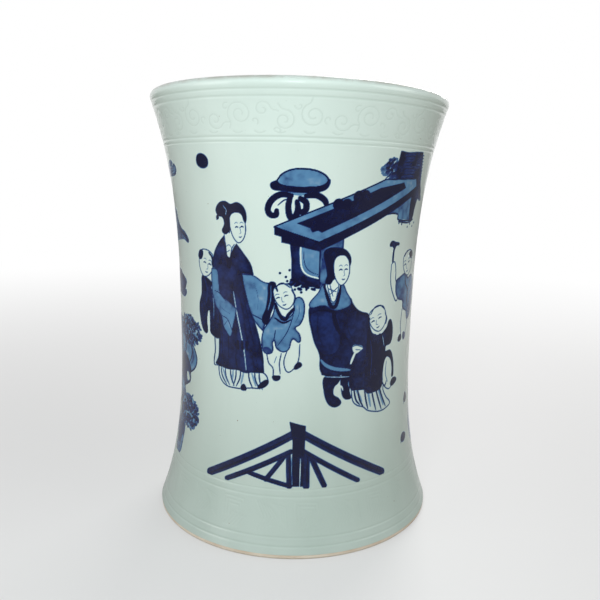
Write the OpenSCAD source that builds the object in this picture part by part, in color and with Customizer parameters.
// Waisted porcelain brush pot. A thrown wall flares at its rim and its foot, a round slab is luted into
// a rebate under it as the base, and a clear glaze covers all but the foot ring.
// Millimetres, +Z up. The origin is on the table, at the middle of the foot ring.

/* [Pot] */
// Height from the table to the crown of the lip
pot_h = 210; // [160:1:260]
// Widest diameter of the rim
rim_d = 145; // [118:1:176]
// Narrowest outside diameter, at the waist
waist_d = 121.5; // [98:0.5:148]
// Widest diameter of the bare foot
foot_d = 147.5; // [120:0.5:178]
// Height of the waist above the table
waist_z = 105; // [70:1:135]
// How late the wall turns out towards the rim: 2 is an even curve, more stays straight for longer
rim_turn = 2.9; // [2:0.1:4]
// How late the wall turns out towards the foot
foot_turn = 3; // [2:0.1:4]

/* [Wall] */
// Thickness of the wall with its glaze on both sides; the lip is half round on it
wall_t = 5.6; // [4:0.1:8]
// Radius of the cove where the wall turns in to the floor
cove_r = 8; // [5:0.5:12]
// Thickness of the wall's toe, where it sits on the slab
toe_t = 1.5; // [1:0.1:3]
// Rounding of the foot's outer edge
foot_edge_r = 1.2; // [0.5:0.1:1.5]
// Bevel of the foot's inner edge
foot_bevel = 0.8; // [0.3:0.1:1.5]

/* [Base] */
// Width of the foot ring, from the rebate to its outer edge
foot_ring_w = 11.5; // [8:0.5:14]
// Least width of the seat where the toe sits on the slab
seat_w = 3; // [2:0.5:6]
// Thickness of the slab
slab_t = 7; // [5:0.5:10]
// Depth of the recess under the slab
recess_h = 5; // [3:0.5:8]
// Radial gap between the slab and its rebate
slab_gap = 0.1; // [0:0.05:0.3]
// Leg of the slip fillet that lutes the slab to the rebate
slip_leg = 2; // [1:0.1:2.5]

/* [Glaze] */
// Thickness of the glaze
glaze_t = 0.4; // [0.25:0.05:0.6]
// Height at which the outside glaze stops, above the bare foot
glaze_line = 2.4; // [2.4:0.1:5]
// Width of the glaze that pools against the toe, round the floor
pool_w = 3; // [1:0.5:6]
// Bare margin between the base glaze and the slip fillet
base_margin = 1; // [0.5:0.5:4]

/* [Turned rings] */
// Distances of the upper band's rings below the crown of the lip
rim_rings = [5, 7.6, 22.6, 24.5]; // [4:0.1:60]
// Heights of the lower band's rings above the table
foot_rings = [5.8, 9.8, 27.9, 31.4]; // [5.6:0.1:60]
// Width of a ring at the surface
ring_w = 0.7; // [0.3:0.1:1.2]
// Depth of a ring, less than the glaze
ring_depth = 0.15; // [0.05:0.01:0.2]

/* [Hidden] */

PORCELAIN = [0.93, 0.91, 0.87];
SLIP = [0.88, 0.84, 0.78];
GLAZE = [0.86, 0.92, 0.90];

wall_steps = 48;                  // straight steps in the wall's curve
lip_steps = 12;                   // steps over the half-round lip
edge_steps = 6;                   // steps round the foot's edge
cove_steps = 10;                  // steps round the cove
passes = 8;                       // passes that settle each angle below
first_lean = 15;                  // angle that they start from

waist_r = waist_d / 2;
lip_r = wall_t / 2;
lip_centre = [rim_d / 2 - lip_r, pot_h - lip_r];
edge_centre = [foot_d / 2 - foot_edge_r, foot_edge_r];
glazed_edge_r = foot_edge_r + glaze_t;
rebate_r = foot_d / 2 - foot_ring_w;
slab_top = recess_h + slab_t;
body_depth = wall_t - glaze_t;    // from the finished outside to the bare inside

function polar(centre, r, a) = centre + r * [cos(a), sin(a)];
function arc(centre, r, from, to, steps) =
    [for (i = [0:steps]) polar(centre, r, from + (to - from) * i / steps)];
function reversed(line) = [for (i = [len(line) - 1:-1:0]) line[i]];
function no_repeats(line) =
    [for (i = [0:len(line) - 1]) if (i == 0 || norm(line[i] - line[max(i - 1, 0)]) > 0.001) line[i]];

// The angle by which the wall leans out where it meets the lip, and where it meets the foot's edge.
// Each depends a little on where its rounding starts, so it is settled in a few passes.
function rim_lean(a, n) = n == 0 ? a
    : rim_lean(atan(rim_turn * (lip_centre.x + lip_r * cos(a) - waist_r)
                    / (lip_centre.y - lip_r * sin(a) - waist_z)), n - 1);
function foot_lean(a, n) = n == 0 ? a
    : foot_lean(atan(foot_turn * (edge_centre.x + glazed_edge_r * cos(a) - waist_r)
                     / (waist_z - edge_centre.y - glazed_edge_r * sin(a))), n - 1);

rim_a = rim_lean(first_lean, passes);
foot_a = foot_lean(first_lean, passes);
wall_top = polar(lip_centre, lip_r, -rim_a);
wall_foot = polar(edge_centre, glazed_edge_r, foot_a);

// The finished outside of the wall is a power curve each way from the waist.
function way_out(z) = z > waist_z ? (z - waist_z) / (wall_top.y - waist_z)
                                  : (waist_z - z) / (waist_z - wall_foot.y);
function outer_r(z) = z > waist_z
    ? waist_r + (wall_top.x - waist_r) * pow(way_out(z), rim_turn)
    : waist_r + (wall_foot.x - waist_r) * pow(way_out(z), foot_turn);
function slope(z) = z > waist_z
    ? rim_turn * (wall_top.x - waist_r) / (wall_top.y - waist_z) * pow(way_out(z), rim_turn - 1)
    : -foot_turn * (wall_foot.x - waist_r) / (waist_z - wall_foot.y) * pow(way_out(z), foot_turn - 1);
function facing(z) = -atan(slope(z));         // the angle above level that the outside faces
function skin(z, depth) = polar([outer_r(z), z], -depth, facing(z));

// The cove's centre is square to the bare inside of the wall, and its lowest point is the toe's top.
function cove_start(z, n) = n == 0 ? z
    : cove_start(slab_top + toe_t + cove_r + (body_depth + cove_r) * sin(facing(z)), n - 1);
cove_z = cove_start(slab_top + cove_r, passes);
cove_centre = skin(cove_z, body_depth + cove_r);
toe_r = min(cove_centre.x, rebate_r - seat_w);

function wall_line(depth, from_z, to_z) =
    [for (i = [0:wall_steps]) skin(from_z + (to_z - from_z) * i / wall_steps, depth)];
function lip_line(depth, from, to) = arc(lip_centre, lip_r - depth, from, to, lip_steps);
function cove_line(r) = arc(cove_centre, r, facing(cove_z), -90, cove_steps);

module turned(line) {
    rotate_extrude($fn = 180) polygon(no_repeats(line));
}

// One V-shaped ring round the outside, centred on the surface at height z
module ring_cut(z) {
    along = polar([0, 0], ring_w / 2, facing(z) + 90);
    turned([skin(z, 0) + along, skin(z, ring_depth), skin(z, 0) - along, skin(z, -ring_depth)]);
}

module thrown_wall() {
    color(PORCELAIN) turned(concat(
        [[rebate_r, slab_top], [rebate_r, foot_bevel], [rebate_r + foot_bevel, 0]],
        arc(edge_centre, foot_edge_r, -90, foot_a, edge_steps),
        wall_line(glaze_t, glaze_line, wall_top.y),
        lip_line(glaze_t, -rim_a, 180 - rim_a),
        wall_line(body_depth, wall_top.y, cove_z),
        cove_line(cove_r),
        [[toe_r, slab_top + toe_t], [toe_r, slab_top]]));
}

module base_slab() {
    color(PORCELAIN) translate([0, 0, recess_h])
        cylinder(h = slab_t, r = rebate_r - slab_gap, $fn = 180);
}

module luting_slip() {
    color(SLIP) turned([[rebate_r, recess_h], [rebate_r - slip_leg, recess_h],
                        [rebate_r, recess_h - slip_leg]]);
}

module outer_glaze() {
    color(GLAZE) difference() {
        turned(concat(
            wall_line(0, glaze_line, wall_top.y), lip_line(0, -rim_a, 90),
            reversed(lip_line(glaze_t, -rim_a, 90)),
            reversed(wall_line(glaze_t, glaze_line, wall_top.y))));
        for (d = rim_rings) ring_cut(pot_h - d);
        for (z = foot_rings) ring_cut(z);
    }
}

module inner_glaze() {
    color(GLAZE) turned(concat(
        lip_line(0, 90, 180 - rim_a), wall_line(wall_t, wall_top.y, cove_z),
        cove_line(cove_r - glaze_t),
        [[toe_r, slab_top + toe_t + glaze_t], [toe_r - pool_w, slab_top + glaze_t],
         [0, slab_top + glaze_t], [0, slab_top], [toe_r, slab_top], [toe_r, slab_top + toe_t]],
        reversed(cove_line(cove_r)), reversed(wall_line(body_depth, wall_top.y, cove_z)),
        reversed(lip_line(glaze_t, 90, 180 - rim_a))));
}

module base_glaze() {
    color(GLAZE) translate([0, 0, recess_h - glaze_t])
        cylinder(h = glaze_t, r = rebate_r - slip_leg - base_margin, $fn = 180);
}

thrown_wall();
base_slab();
luting_slip();
outer_glaze();
inner_glaze();
base_glaze();
